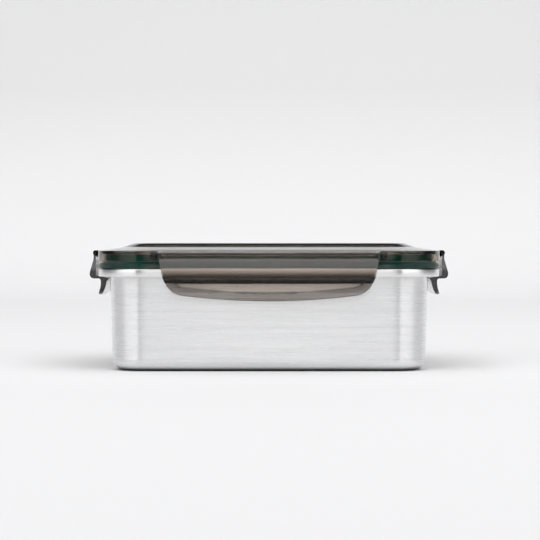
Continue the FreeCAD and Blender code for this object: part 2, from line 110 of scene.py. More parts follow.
def grid_piece(name, grid, ring=True, loop=False, extra=None, sharp=35, marks=None):
    """A skin over a grid of points, rows one way and the profile the other, with a UV map in metres. Marks,
    one for each point, go into the U of a second map. Equal points are merged, which closes the poles, and
    the faces are turned outwards."""
    rows, columns = grid.shape[:2]
    near = np.arange(rows if ring else rows - 1)
    along = np.arange(columns if loop else columns - 1)
    a, b = np.meshgrid(near, along, indexing="ij")
    a2, b2 = (a + 1) % rows, (b + 1) % columns
    quads = np.stack([a * columns + b, a2 * columns + b, a2 * columns + b2, a * columns + b2], -1)
    step_u = np.linalg.norm(np.roll(grid, -1, 0) - grid, axis=2).max(1)
    step_v = np.linalg.norm(np.roll(grid, -1, 1) - grid, axis=2).max(0)
    u = np.concatenate([[0], np.cumsum(step_u)])
    v = np.concatenate([[0], np.cumsum(step_v)])
    corner_u = np.stack([u[a], u[a + 1], u[a + 1], u[a]], -1).reshape(-1)
    corner_v = np.stack([v[b], v[b], v[b + 1], v[b + 1]], -1).reshape(-1)
    points, faces = grid.reshape(-1, 3), quads.reshape(-1, 4).tolist()
    if extra is not None:
        points = np.vstack([points, extra[0]])
        faces += extra[1]
    mesh = bpy.data.meshes.new(name)
    mesh.from_pydata(points.tolist(), [], faces)
    uv = np.zeros((len(mesh.loops), 2))
    uv[: corner_u.size] = np.stack([corner_u, corner_v], -1)
    mesh.uv_layers.new(name="UVMap").data.foreach_set("uv", uv.reshape(-1))
    if marks is not None:
        corner_mark = np.stack([marks[a, b], marks[a2, b], marks[a2, b2], marks[a, b2]], -1).reshape(-1)
        uv[:] = 1
        uv[: corner_mark.size, 0] = corner_mark
        mesh.uv_layers.new(name="EdgeMap").data.foreach_set("uv", uv.reshape(-1))
    bm = bmesh.new()
    bm.from_mesh(mesh)
    bmesh.ops.remove_doubles(bm, verts=bm.verts, dist=1e-7)
    bmesh.ops.dissolve_degenerate(bm, edges=bm.edges, dist=1e-7)
    bmesh.ops.recalc_face_normals(bm, faces=bm.faces)
    bm.to_mesh(mesh)
    bm.free()
    mesh.polygons.foreach_set("use_smooth", np.ones(len(mesh.polygons), bool))
    mesh.set_sharp_from_angle(angle=math.radians(sharp))
    piece = bpy.data.objects.new(name, mesh)
    scene.collection.objects.link(piece)
    return piece


def new_material(name):
    """An empty node material with its shader, and a helper that adds a node and sets its sockets."""
    material = bpy.data.materials.new(name)
    material.use_nodes = True
    tree = material.node_tree
    shader = tree.nodes["Principled BSDF"]

    def add(kind, **sockets):
        node = tree.nodes.new(kind)
        for key, setting in sockets.items():
            if key in node.inputs:
                node.inputs[key].default_value = setting
            else:
                setattr(node, key, setting)
        return node

    return material, tree, shader, add


def brushed_steel():
    """Brushing is noise stretched along the wall, which sets grey, roughness and a fine bump. A ramp on
    height turns it down to polish over the last few millimetres under the rim, and another paints shade
    into the very foot, darkening it to near black where it meets the floor."""
    material, tree, shader, add = new_material("brushed_steel")
    link = tree.links.new
    uv = add("ShaderNodeUVMap", uv_map="UVMap")
    stretch = add("ShaderNodeMapping", Scale=(22, 2600, 1))
    fine = add("ShaderNodeTexNoise", Scale=1.0, Detail=4.0, Roughness=0.7)
    broad_stretch = add("ShaderNodeMapping", Scale=(9, 420, 1))
    broad = add("ShaderNodeTexNoise", Scale=1.0, Detail=3.0)
    both = add("ShaderNodeMix", data_type="FLOAT", Factor=0.35)
    link(uv.outputs["UV"], stretch.inputs["Vector"])
    link(uv.outputs["UV"], broad_stretch.inputs["Vector"])
    link(stretch.outputs["Vector"], fine.inputs["Vector"])
    link(broad_stretch.outputs["Vector"], broad.inputs["Vector"])
    link(fine.outputs["Fac"], both.inputs["A"])
    link(broad.outputs["Fac"], both.inputs["B"])
    place = add("ShaderNodeTexCoord")
    apart = add("ShaderNodeSeparateXYZ")
    polish = add("ShaderNodeMapRange", interpolation_type="SMOOTHSTEP")
    polish.inputs["From Min"].default_value = 0.0462
    polish.inputs["From Max"].default_value = 0.0512
    link(place.outputs["Object"], apart.inputs["Vector"])
    link(apart.outputs["Z"], polish.inputs["Value"])
    grey = add("ShaderNodeValToRGB")
    dull, bright = grey.color_ramp.elements
    dull.position, dull.color = 0.40, (0.775, 0.775, 0.78, 1)
    bright.position, bright.color = 0.60, (0.895, 0.895, 0.90, 1)
    link(both.outputs["Result"], grey.inputs["Fac"])
    tone = add("ShaderNodeMix", data_type="RGBA")
    link(polish.outputs["Result"], tone.inputs["Factor"])
    link(grey.outputs["Color"], tone.inputs[6])
    tone.inputs[7].default_value = (0.84, 0.84, 0.84, 1)
    # Painted shade: the base colour falls to near black over the bottom 3 mm, for the contact shadow that
    # the foot's round reflects.
    foot = add("ShaderNodeMapRange", interpolation_type="SMOOTHSTEP")
    foot.inputs["From Min"].default_value, foot.inputs["From Max"].default_value = 0.0003, 0.0030
    foot.inputs["To Min"].default_value = 0.06
    link(apart.outputs["Z"], foot.inputs["Value"])
    shaded = add("ShaderNodeMix", data_type="RGBA", blend_type="MULTIPLY", Factor=1.0)
    link(tone.outputs[2], shaded.inputs[6])
    link(foot.outputs["Result"], shaded.inputs[7])
    link(shaded.outputs[2], shader.inputs["Base Color"])
    rough = add("ShaderNodeMapRange")
    rough.inputs["To Min"].default_value, rough.inputs["To Max"].default_value = 0.20, 0.36
    link(both.outputs["Result"], rough.inputs["Value"])
    rough_mix = add("ShaderNodeMix", data_type="FLOAT")
    rough_mix.inputs["B"].default_value = 0.28
    link(polish.outputs["Result"], rough_mix.inputs["Factor"])
    link(rough.outputs["Result"], rough_mix.inputs["A"])
    link(rough_mix.outputs["Result"], shader.inputs["Roughness"])
    fade = add("ShaderNodeMapRange")
    fade.inputs["To Min"].default_value, fade.inputs["To Max"].default_value = 0.10, 0.0
    link(polish.outputs["Result"], fade.inputs["Value"])
    bump = add("ShaderNodeBump", Distance=0.0001)
    link(fade.outputs["Result"], bump.inputs["Strength"])
    link(both.outputs["Result"], bump.inputs["Height"])
    link(bump.outputs["Normal"], shader.inputs["Normal"])
    tangent = add("ShaderNodeTangent", direction_type="UV_MAP", uv_map="UVMap")
    link(tangent.outputs["Tangent"], shader.inputs["Tangent"])
    shader.inputs["Metallic"].default_value = 1.0
    shader.inputs["Anisotropic"].default_value = 0.95
    shader.inputs["Anisotropic Rotation"].default_value = 0.25
    return material


wall_foot, wall_in = RIM_REACH + WALL_LEAN, RIM_REACH + WALL_LEAN + SHEET
container_line = softened(
    [
        (FLAT_MIDDLE, 0, 0),
        (wall_foot, 0, BASE_RADIUS),
        (RIM_REACH, BOX_HEIGHT - SHEET, MOUTH_RADIUS - SHEET),
        (RIM_THICK, BOX_HEIGHT - SHEET, 0.4),
        (RIM_THICK, RIM_FOOT, RIM_ROUND),
        (RIM_BOW, RIM_FOOT, RIM_ROUND),
        (0, (RIM_FOOT + BOX_HEIGHT) / 2, BOW_ROUND),
        (RIM_BOW, BOX_HEIGHT, RIM_ROUND),
        (RIM_REACH + SHEET, BOX_HEIGHT, MOUTH_RADIUS),
        (wall_in, SHEET, BASE_RADIUS - SHEET),
        (FLAT_MIDDLE, SHEET, 0),
    ],
    steps=8,
)
container_inset, container_height = container_line.T
container_corner = np.maximum(RIM_CORNER - container_inset, 0.5)
plain_walk = rim_walk(np.linspace(0.04, 0.96, 8), np.linspace(0.04, 0.96, 6))
container_skin = carried_round(plain_walk, container_inset, container_height, container_corner)
container = grid_piece("container_shell", closed_over(container_skin))
container.data.materials.append(brushed_steel())
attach(container, "container")
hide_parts("container")

# The seal. A ring of dark green silicone pushed into the channel under the lid's edge, held by a tongue.
# It stands on the flange with two lips and a groove between them.
SEAL_TOP, SEAL_IN, SEAL_OUT = 61.2, 8.0, 2.1
TONGUE_TOP, TONGUE_IN, TONGUE_OUT = 65.1, 6.1, 4.1
GROOVE_TOP, GROOVE_IN, GROOVE_OUT = 58.2, 5.0, 4.0


def soft_silicone():
    """Matt rubber: a dark green with slow cloudy change, a fine grain in the roughness and a faint bump."""
    material, tree, shader, add = new_material("soft_silicone")
    link = tree.links.new
    place = add("ShaderNodeTexCoord")
    cloud = add("ShaderNodeTexNoise", Scale=60.0, Detail=2.0)
    grain = add("ShaderNodeTexNoise", Scale=2600.0, Detail=3.0)
    tone = add("ShaderNodeValToRGB")
    dark, light = tone.color_ramp.elements
    dark.position, dark.color = 0.35, (0.003, 0.075, 0.062, 1)
    light.position, light.color = 0.70, (0.005, 0.100, 0.084, 1)
    rough = add("ShaderNodeMapRange")
    rough.inputs["To Min"].default_value, rough.inputs["To Max"].default_value = 0.38, 0.58
    bump = add("ShaderNodeBump", Strength=0.08, Distance=0.0001)
    link(place.outputs["Object"], cloud.inputs["Vector"])
    link(place.outputs["Object"], grain.inputs["Vector"])
    link(cloud.outputs["Fac"], tone.inputs["Fac"])
    link(tone.outputs["Color"], shader.inputs["Base Color"])
    link(grain.outputs["Fac"], rough.inputs["Value"])
    link(rough.outputs["Result"], shader.inputs["Roughness"])
    link(grain.outputs["Fac"], bump.inputs["Height"])
    link(bump.outputs["Normal"], shader.inputs["Normal"])
    shader.inputs["Specular IOR Level"].default_value = 0.12
    return material


seal_start = (SEAL_IN + GROOVE_IN) / 2
seal_line = softened(
    [
        (seal_start, BOX_HEIGHT, 0),
        (SEAL_IN, BOX_HEIGHT, 0.3),
        (SEAL_IN, SEAL_TOP, 0.3),
        (TONGUE_IN, SEAL_TOP, 0.2),
        (TONGUE_IN, TONGUE_TOP, 0.5),
        (TONGUE_OUT, TONGUE_TOP, 0.5),
        (TONGUE_OUT, SEAL_TOP, 0.2),
        (SEAL_OUT, SEAL_TOP, 0.3),
        (SEAL_OUT, BOX_HEIGHT, 0.5),
        (GROOVE_OUT, BOX_HEIGHT, 0.3),
        (GROOVE_OUT, GROOVE_TOP, 0.3),
        (GROOVE_IN, GROOVE_TOP, 0.3),
        (GROOVE_IN, BOX_HEIGHT, 0.3),
        (seal_start, BOX_HEIGHT, 0),
    ],
    steps=4,
)[:-1]
seal_inset, seal_height = seal_line.T
seal_skin = carried_round(plain_walk, seal_inset, seal_height, RIM_CORNER - seal_inset)
seal = grid_piece("seal_band", seal_skin, loop=True)
seal.data.materials.append(soft_silicone())
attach(seal, "lid")
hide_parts("seal_ring")

# The lid. One moulding of clear smoke-tinted plastic: a flat plateau, a sloping shoulder, an upright skirt
# and a plug wall inside. Its top edge is cut back where the latches swing over it.
LID_EDGE, PLATEAU_FOOT, PLATEAU_TOP = 67.0, 69.1, 71.2
SHOULDER_RUN, PLATEAU_END = 13.4, 20.2
SKIRT_FOOT, SKIRT_WALL = 57.4, 2.0
EDGE_ROUND, EDGE_RELIEF = 0.7, 1.6
PLUG_OUT, PLUG_IN, PLUG_FOOT = 8.1, 10.0, 53.2
SLOT_OUT, SLOT_IN, SLOT_TOP = 4.0, 6.2, 65.2
HOLLOW_EDGE, HOLLOW_RUN, HOLLOW_TOP = 67.1, 15.4, 69.2
SHOULDER_CORNER, HOLLOW_CORNER, PLATEAU_CORNER, MIDDLE_CORNER = 20.0, 18.0, 13.2, 6.0
LONG_GAP, SHORT_GAP = 61.8, 35.8
CORE_X, CORE_Y = RIM_HALF_X - RIM_CORNER, RIM_HALF_Y - RIM_CORNER


def smoke_plastic(name, density, smooth, rough):
    """Clear plastic that darkens with its thickness: the shader lets all light in, and the tint is an
    absorption inside. Fine noise varies its haze, slow noise gives the ripple of a moulded face, and a
    clear coat keeps the gloss."""
    material, tree, shader, add = new_material(name)
    link = tree.links.new
    place = add("ShaderNodeTexCoord")
    flow = add("ShaderNodeTexNoise", Scale=30.0, Detail=1.0)
    grain = add("ShaderNodeTexNoise", Scale=900.0, Detail=3.0)
    haze = add("ShaderNodeMapRange")
    haze.inputs["To Min"].default_value, haze.inputs["To Max"].default_value = smooth, rough
    bump = add("ShaderNodeBump", Strength=0.004, Distance=0.0004)
    link(place.outputs["Object"], flow.inputs["Vector"])
    link(place.outputs["Object"], grain.inputs["Vector"])
    link(grain.outputs["Fac"], haze.inputs["Value"])
    link(haze.outputs["Result"], shader.inputs["Roughness"])
    link(flow.outputs["Fac"], bump.inputs["Height"])
    link(bump.outputs["Normal"], shader.inputs["Normal"])
    shader.inputs["Base Color"].default_value = (0.96, 0.95, 0.94, 1)
    shader.inputs["Transmission Weight"].default_value = 1.0
    shader.inputs["IOR"].default_value = 1.3
    shader.inputs["Coat Weight"].default_value = 0.35
    shader.inputs["Coat Roughness"].default_value = 0.02
    depth = add("ShaderNodeVolumeAbsorption", Density=density)
    depth.inputs["Color"].default_value = (0.55, 0.47, 0.39, 1)
    link(depth.outputs["Volume"], tree.nodes["Material Output"].inputs["Volume"])
    return material


def graded(material, socket, *steps):
    """One of a shader's settings graded by height: the base colour, which carries painted shade and light,
    or the gloss. Each step is a height and the grey or weight there."""
    tree = material.node_tree
    low, high = steps[0][0], steps[-1][0]
    place, apart = tree.nodes.new("ShaderNodeTexCoord"), tree.nodes.new("ShaderNodeSeparateXYZ")
    share, tone = tree.nodes.new("ShaderNodeMapRange"), tree.nodes.new("ShaderNodeValToRGB")
    share.inputs["From Min"].default_value, share.inputs["From Max"].default_value = low, high
    tree.links.new(place.outputs["Object"], apart.inputs["Vector"])
    tree.links.new(apart.outputs["Z"], share.inputs["Value"])
    tree.links.new(share.outputs["Result"], tone.inputs["Fac"])
    for _ in steps[1:-1]:
        tone.color_ramp.elements.new(0.5)
    for element, (height, grey) in zip(tone.color_ramp.elements, steps):
        element.position = (height - low) / (high - low)
        element.color = (grey, grey * 0.985, grey * 0.97, 1)
    tree.links.new(tone.outputs["Color"], tree.nodes["Principled BSDF"].inputs[socket])


lid_top = softened(
    [
        (FLAT_MIDDLE, PLATEAU_TOP, 0),
        (PLATEAU_END, PLATEAU_TOP, 6.0),
        (SHOULDER_RUN, PLATEAU_FOOT, 6.0),
        (0, LID_EDGE, EDGE_ROUND),
        (0, SKIRT_FOOT, 0.25),
        (SKIRT_WALL, SKIRT_FOOT, 0.25),
        (SKIRT_WALL, SEAL_TOP, 0),
    ],
    steps=8,
)
shoulder_in = np.array([3.0, 2.2])
shoulder_up = LID_EDGE + shoulder_in * (PLATEAU_FOOT - LID_EDGE) / SHOULDER_RUN
shoulder_from = np.argmax(lid_top[:, 0] < shoulder_in.min())
lid_top = np.insert(lid_top, shoulder_from, np.stack([shoulder_in, shoulder_up], -1), axis=0)
lid_under = softened(
    [
        (SKIRT_WALL, SEAL_TOP, 0),
        (SLOT_OUT, SEAL_TOP, 0.1),
        (SLOT_OUT, SLOT_TOP, 0.2),
        (SLOT_IN, SLOT_TOP, 0.2),
        (SLOT_IN, SEAL_TOP, 0.1),
        (PLUG_OUT, SEAL_TOP, 0.2),
        (PLUG_OUT, PLUG_FOOT, 0.5),
        (PLUG_IN, PLUG_FOOT, 0.5),
        (PLUG_IN, HOLLOW_EDGE, 1.0),
        (HOLLOW_RUN, HOLLOW_EDGE, 2.0),
        (PLATEAU_END, HOLLOW_TOP, 2.0),
        (FLAT_MIDDLE, HOLLOW_TOP, 0),
    ],
    steps=5,
)
lid_line = np.vstack([lid_top[:-1], lid_under])
lid_inset, lid_height = lid_line.T
top_corner = np.interp(
    lid_top[:-1, 0],
    [0, SHOULDER_RUN, PLATEAU_END, FLAT_MIDDLE],
    [RIM_CORNER, SHOULDER_CORNER, PLATEAU_CORNER, MIDDLE_CORNER],
)
under_corner = np.interp(
    lid_under[:, 0],
    [0, PLUG_IN, HOLLOW_RUN, PLATEAU_END, FLAT_MIDDLE],
    [RIM_CORNER, RIM_CORNER - PLUG_IN, HOLLOW_CORNER, PLATEAU_CORNER, MIDDLE_CORNER],
)
lid_corner = np.concatenate([top_corner, under_corner])
long_stops = np.array([0.2, 0.45, 0.7, LONG_GAP / CORE_X - 0.0004, LONG_GAP / CORE_X, 0.96])
short_stops = np.array([0.2, 0.5, SHORT_GAP / CORE_Y - 0.0006, SHORT_GAP / CORE_Y, 0.93])
lid_walk = rim_walk(long_stops, short_stops)
share_x, share_y, normal_x, normal_y = lid_walk
over_long = (np.abs(normal_y) > 0.999) & (np.abs(share_x) < LONG_GAP / CORE_X - 0.0002)
over_short = (np.abs(normal_x) > 0.999) & (np.abs(share_y) < SHORT_GAP / CORE_Y - 0.0003)
relieved = (over_long | over_short)[:, None]
relief_depth = np.maximum(EDGE_RELIEF - lid_inset - (LID_EDGE - lid_height), 0) / 2
relief_depth = np.where(np.arange(lid_inset.size) < len(lid_top) - 1, relief_depth, 0)
cut_inset = lid_inset + relieved * relief_depth
cut_height = lid_height - relieved * relief_depth
lid_skin = carried_round(lid_walk, cut_inset, cut_height, lid_corner)
lid = grid_piece("lid_moulding", closed_over(lid_skin), sharp=20)
lid_smoke = smoke_plastic("lid_smoke", 190.0, 0.03, 0.07)
# Painted shade in the lid's base colour: a little darker low on the skirt and plug, and much darker over
# the plateau.
lid_painted_shade = (0.0574, 0.9), (0.0606, 0.9), (0.0612, 0.97), (0.0690, 0.97), (0.0694, 0.3)
lid_gloss = (0.0574, 0.2), (0.0610, 0.2), (0.0618, 1.0), (0.0690, 1.0), (0.0694, 0.3)
graded(lid_smoke, "Base Color", *lid_painted_shade)
graded(lid_smoke, "Coat Weight", *lid_gloss)
lid.data.materials.append(lid_smoke)
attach(lid, "lid")
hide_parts("lid")

# The latches. Each is one moulding that hangs from a steel pin: a wedge plate that thickens into a bulge, a
# hook that catches under the rim, and a lip that curves out for the fingertips, with a raised border.
AXIS_Z, AXIS_OUT = 65.7, 1.9
KNUCKLE, BORE, KNUCKLE_OPEN = 1.5, 0.81, -78.46
CREASE = np.array([-2.3, -16.0])
LIP_ROOT = -5.6
LIP_BORDER, LIP_STEP, EDGE_SPAN = 4.6, 0.9, 10.0
BOW, LIP_CORNER, LIP_NOSE = 390.0, 12.5, 0.45
LIP_OUTSIDE, LIP_INSIDE = ((11.70, -15.88), 14.0), ((9.26, -14.02), 15.0)
TOP_W, LEAN_W, LEAN = 3.0, -13.1, 3.2


def circle_side(w, centre, radius):
    """How far out a circle's near side lies at a height: its centre less the half chord there."""
    return centre[0] - np.sqrt(radius**2 - (w - centre[1]) ** 2)


def latch_outline(half_span, depth):
    """The lower edge seen from outside, from the middle to one side: a shallow bow, then the round corner.
    The corner's centre lies its radius inside the leaning side, and the bow's radius less its own from the
    bow's centre."""
    side = np.array([-LEAN, LEAN_W - TOP_W])
    side /= np.linalg.norm(side)
    start = np.array([half_span, TOP_W]) + LIP_CORNER * np.array([side[1], -side[0]])
    arm = start - [0, BOW - depth]
    along = arm @ side
    run = -along + math.sqrt(along**2 - arm @ arm + (BOW - LIP_CORNER) ** 2)
    corner = start + run * side
    low = math.atan2(*(corner - [0, BOW - depth])[::-1])
    high = math.asin((CREASE[1] - corner[1]) / LIP_CORNER)
    swing = math.pi / 2 + low
    bow_angle = -math.pi / 2 + np.linspace(0, swing, 24)
    turn = np.linspace(low, high, 22)[1:]
    x = np.concatenate([BOW * np.cos(bow_angle), corner[0] + LIP_CORNER * np.cos(turn)])
    w = np.concatenate([BOW - depth + BOW * np.sin(bow_angle), corner[1] + LIP_CORNER * np.sin(turn)])
    return x, w, corner


def latch_skin(half_span, depth):
    """A grid of sections along the hinge. The upper body keeps one section, stretched to the leaning sides.
    The lip runs from the crease down to the outline's edge in each column, between two circles, and its
    outer face is let in by a small step wherever it is further than the border's width from the edge."""
    edge_x, edge_w, corner = latch_outline(half_span, depth)
    edge_x = np.concatenate([-edge_x[:0:-1], edge_x])[:, None]
    edge_w = np.concatenate([edge_w[:0:-1], edge_w])[:, None]
    share = edge_x / edge_x.max()
    knuckle = np.radians(np.linspace(KNUCKLE_OPEN, -360, 30))
    ring = KNUCKLE * np.stack([np.cos(knuckle), np.sin(knuckle)], -1)
    inner = np.array([[0.3, -12.6], [0.3, -7.0], [0.3, -2.0]])
    outer = softened(
        [
            (1.5, -0.4, 0),
            (1.5, -3.5, 6.0),
            (3.9, -11.2, 3.0),
            (3.9, -14.6, 2.3),
            (CREASE[0], -14.6, 1.3),
            (*CREASE, 0),
        ],
        steps=8,
    )
    hook = softened(
        [
            (LIP_ROOT, CREASE[1], 0),
            (-6.55, -15.3, 0.3),
            (-7.0, -14.4, 0.25),
            (0.3, -12.96, 0.3),
            (0.3, -12.6, 0),
        ],
        steps=4,
    )[:-1]
    drop = np.linspace(0, 1, 22)[1:]
    room = np.clip((CREASE[1] - edge_w) / 1.2, 0, 1)
    nose = LIP_NOSE * room
    lip_w = CREASE[1] + drop * (edge_w + nose - CREASE[1])
    from_bow = BOW - np.hypot(edge_x, lip_w - (BOW - depth))
    from_corner = LIP_CORNER - np.hypot(np.abs(edge_x) - corner[0], lip_w - corner[1])
    from_edge = np.where(np.abs(edge_x) > corner[0], np.minimum(from_bow, from_corner), from_bow)
    step = np.clip((from_edge - LIP_BORDER + 0.2) / 0.4, 0, 1)
    step = step * step * (3 - 2 * step) * LIP_STEP * np.clip((CREASE[1] - lip_w) / 0.8, 0, 1)
    out_u = circle_side(lip_w, *LIP_OUTSIDE) - step
    in_u = circle_side(lip_w, *LIP_INSIDE)
    end_out, end_in = out_u[:, -1:], in_u[:, -1:]
    bend = np.radians([30, 60, 90])
    turn_out = (end_out - nose * (1 - np.cos(bend)), edge_w + nose - nose * np.sin(bend))
    turn_in = (end_in + nose * (1 - np.cos(bend[::-1])), edge_w + nose - nose * np.sin(bend[::-1]))
    wide = np.ones_like(edge_x)
    body = np.vstack([inner, ring, outer])
    u = np.hstack([wide * body[:, 0], out_u, turn_out[0], turn_in[0], in_u[:, ::-1], wide * hook[:, 0]])
    w = np.hstack([wide * body[:, 1], lip_w, turn_out[1], turn_in[1], lip_w[:, ::-1], wide * hook[:, 1]])
    lean_x = half_span - LEAN * (TOP_W - w) / (TOP_W - LEAN_W)
    at_side = np.where(w > CREASE[1], np.maximum(lean_x, edge_x.max()), edge_x.max())
    x = share * at_side
    lip = slice(len(body), len(body) + 2 * drop.size + 2 * bend.size)
    knuckle_rows = np.arange(len(inner), len(inner) + len(ring))
    rim_near = np.clip(from_edge / EDGE_SPAN, 0, 1)
    far_body, far_hook = wide * np.ones(len(body)), wide * np.ones(len(hook))
    tip = wide * np.zeros(2 * bend.size)
    marks = np.hstack([far_body, rim_near, tip, rim_near[:, ::-1], far_hook])
    return np.stack([x, u, w], -1), lip, knuckle_rows, marks


def latch_ends(skin, lip, knuckle_rows):
    """The bore and the two end faces. The bore is a ring of points at each end on the knuckle's own angles,
    with more to close it. Each end is a strip between knuckle and bore, and one face for the rest of the
    section."""
    rows, columns = skin.shape[:2]
    free = np.radians(np.linspace(KNUCKLE_OPEN, -360, knuckle_rows.size))
    rest = np.radians(np.linspace(0, KNUCKLE_OPEN, 9))[1:-1]
    angles = np.concatenate([free, rest])
    tube = BORE * np.stack([np.cos(angles), np.sin(angles)], -1)
    points, faces = [], []
    base = rows * columns
    for end, row in enumerate((0, rows - 1)):
        reach = np.full((angles.size, 1), skin[row, 0, 0])
        points.append(np.hstack([reach, tube]))
        here = base + end * angles.size
        outside = row * columns + knuckle_rows
        inside = here + np.arange(free.size)
        faces += np.stack([outside[:-1], outside[1:], inside[1:], inside[:-1]], -1).tolist()
        kept = np.delete(np.arange(columns), np.arange(lip.start, lip.stop))
        after = kept[kept > knuckle_rows[-1]]
        before = kept[kept < knuckle_rows[0]]
        loop = np.concatenate([outside[-1:], row * columns + after, row * columns + before, outside[:1]])
        closing = np.arange(angles.size - 1, free.size - 1, -1)
        inner_way = here + np.concatenate([[0], closing, [free.size - 1]])
        faces.append(np.concatenate([loop, inner_way]).tolist())
    near = base + np.arange(angles.size)
    far = near + angles.size
    faces += np.stack([near, np.roll(near, -1), np.roll(far, -1), far], -1).tolist()
    return np.vstack(points), faces


def shade_by_edge(material, *steps):
    """Painted shade: a darker border round the lip and a darker line at its very edge, from the second
    map's distance to the edge. It multiplies the painted shade by height. Each step is a share of the span
    that the map covers, and of the light let through there."""
    tree = material.node_tree
    colour = tree.nodes["Principled BSDF"].inputs["Base Color"]
    before = colour.links[0].from_socket
    edge, apart = tree.nodes.new("ShaderNodeUVMap"), tree.nodes.new("ShaderNodeSeparateXYZ")
    tone, both = tree.nodes.new("ShaderNodeValToRGB"), tree.nodes.new("ShaderNodeMix")
    edge.uv_map = "EdgeMap"
    both.data_type, both.blend_type = "RGBA", "MULTIPLY"
    both.inputs["Factor"].default_value = 1.0
    for _ in steps[1:-1]:
        tone.color_ramp.elements.new(0.5)
    for element, (share, grey) in zip(tone.color_ramp.elements, steps):
        element.position, element.color = share, (grey, grey * 0.98, grey * 0.96, 1)
    tree.links.new(edge.outputs["UV"], apart.inputs["Vector"])
    tree.links.new(apart.outputs["X"], tone.inputs["Fac"])
    tree.links.new(before, both.inputs[6])
    tree.links.new(tone.outputs["Color"], both.inputs[7])
    tree.links.new(both.outputs[2], colour)


SIDES = {
    "front": (61.5, 26.3, lambda x, out: (x, -(RIM_HALF_Y + AXIS_OUT + out))),
    "back": (61.5, 26.3, lambda x, out: (-x, RIM_HALF_Y + AXIS_OUT + out)),
    "left": (35.5, 24.5, lambda x, out: (-(RIM_HALF_X + AXIS_OUT + out), -x)),
    "right": (35.5, 24.5, lambda x, out: (RIM_HALF_X + AXIS_OUT + out, x)),
}


def set_on_side(points, place):
    """Points along, out and up from a hinge axis, put on one side of the lid."""
    x, y = place(points[..., 0], points[..., 1])
    return np.stack([x, y, AXIS_Z + points[..., 2]], -1) * MM


LENGTHWISE, EDGE_TURN = {"front": 0, "back": 0, "left": 1, "right": 1}, 0.7
latch_smoke = smoke_plastic("latch_smoke", 320.0, 0.15, 0.17)
# Painted shade in the latches' base colour: a near-black band from 49.6 to 54 mm high, where the bulge lies
# in the rim's shadow over the dark gap under it.
latch_painted_shade = (0.0490, 0.97), (0.0496, 0.05), (0.0524, 0.08), (0.0540, 0.9), (0.0552, 0.97)
latch_gloss = (0.0490, 0.6), (0.0496, 0.15), (0.0535, 0.15), (0.0550, 0.4), (0.0575, 1.0)
graded(latch_smoke, "Base Color", *latch_painted_shade)
graded(latch_smoke, "Coat Weight", *latch_gloss)
# Painted shade round the lip's border and along its edge.
shade_by_edge(latch_smoke, (0.02, 0.4), (0.07, 0.55), (0.44, 0.55), (0.455, 0.45), (0.48, 1.0))


def moulded_edge(name):
    """A tinted moulding's edge seen end on, with so much plastic behind it that it looks solid. Fine noise
    varies its sheen and slow noise gives the ripple of the mould."""
    material, tree, shader, add = new_material(name)
    link = tree.links.new
    place = add("ShaderNodeTexCoord")
    flow = add("ShaderNodeTexNoise", Scale=60.0, Detail=2.0)
    grain = add("ShaderNodeTexNoise", Scale=900.0, Detail=3.0)
    sheen = add("ShaderNodeMapRange")
    sheen.inputs["To Min"].default_value, sheen.inputs["To Max"].default_value = 0.22, 0.34
    bump = add("ShaderNodeBump", Strength=0.02, Distance=0.0004)
    link(place.outputs["Object"], flow.inputs["Vector"])
    link(place.outputs["Object"], grain.inputs["Vector"])
    link(grain.outputs["Fac"], sheen.inputs["Value"])
    link(sheen.outputs["Result"], shader.inputs["Roughness"])
    link(flow.outputs["Fac"], bump.inputs["Height"])
    link(bump.outputs["Normal"], shader.inputs["Normal"])
    return material


latch_edge = moulded_edge("latch_edge")
# Painted light and shade: the opaque end faces are near black low down, where the thick bulge lies behind,
# and lighter at the top, for light let through the thin plate.
graded(latch_edge, "Base Color", (0.0360, 0.035), (0.0552, 0.04), (0.0575, 0.17), (0.0680, 0.15))
for side, (half_span, depth, place) in SIDES.items():
    skin, lip, knuckle_rows, marks = latch_skin(half_span, depth)
    end_points, end_faces = latch_ends(skin, lip, knuckle_rows)
    ends = (set_on_side(end_points, place), end_faces)
    points = set_on_side(skin, place)
    latch = grid_piece(f"{side}_latch_moulding", points, ring=False, loop=True, extra=ends, marks=marks)
    latch.data.materials.append(latch_smoke)
    latch.data.materials.append(latch_edge)
    for face in latch.data.polygons:
        face.material_index = int(abs(face.normal[LENGTHWISE[side]]) > EDGE_TURN)
    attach(latch, f"{side}_latch")
    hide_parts(f"{side}_latch")

# The hinge lugs. Two small eyes stand out of the skirt beside each latch, moulded with the lid, and hold
# the pin's ends. They taper down into the skirt as a gusset.
LUG_LENGTH, LUG_GAP, LUG_GUSSET = 3.2, 0.3, 1.9


def lug_skin(inner_end, sign):
    """One eye as a grid: its outline at a few places along the pin, drawn in slightly at both faces so that
    its edges are soft, then the bore back through it. The first and last lines meet, which closes it."""
    angles = np.radians(np.linspace(-90, 90, 17))
    eye = KNUCKLE * np.stack([np.cos(angles), np.sin(angles)], -1)
    foot = np.array([[-AXIS_OUT, KNUCKLE], [-AXIS_OUT, -KNUCKLE - LUG_GUSSET + 0.2]])
    over, back = np.linspace(eye[-1], foot[0], 8)[1:], np.linspace(*foot, 10)[1:]
    under = np.linspace(foot[1], eye[0], 10)[1:-1]
    outline = np.vstack([eye, over, back, under])
    polar = np.arctan2(outline[:, 1], outline[:, 0])
    bore = BORE * np.stack([np.cos(polar), np.sin(polar)], -1)
    along = np.array([0, 0.0, 0.15, LUG_LENGTH - 0.15, LUG_LENGTH, LUG_LENGTH, 0.0])
    mix = np.array([0.0, 0.88, 1.0, 1.0, 0.88, 0.0, 0.0])[:, None, None]
    section = bore + mix * (outline - bore)
    x = sign * (inner_end + along)[:, None]
    return np.stack([np.broadcast_to(x, section.shape[:2]), section[..., 0], section[..., 1]], -1)


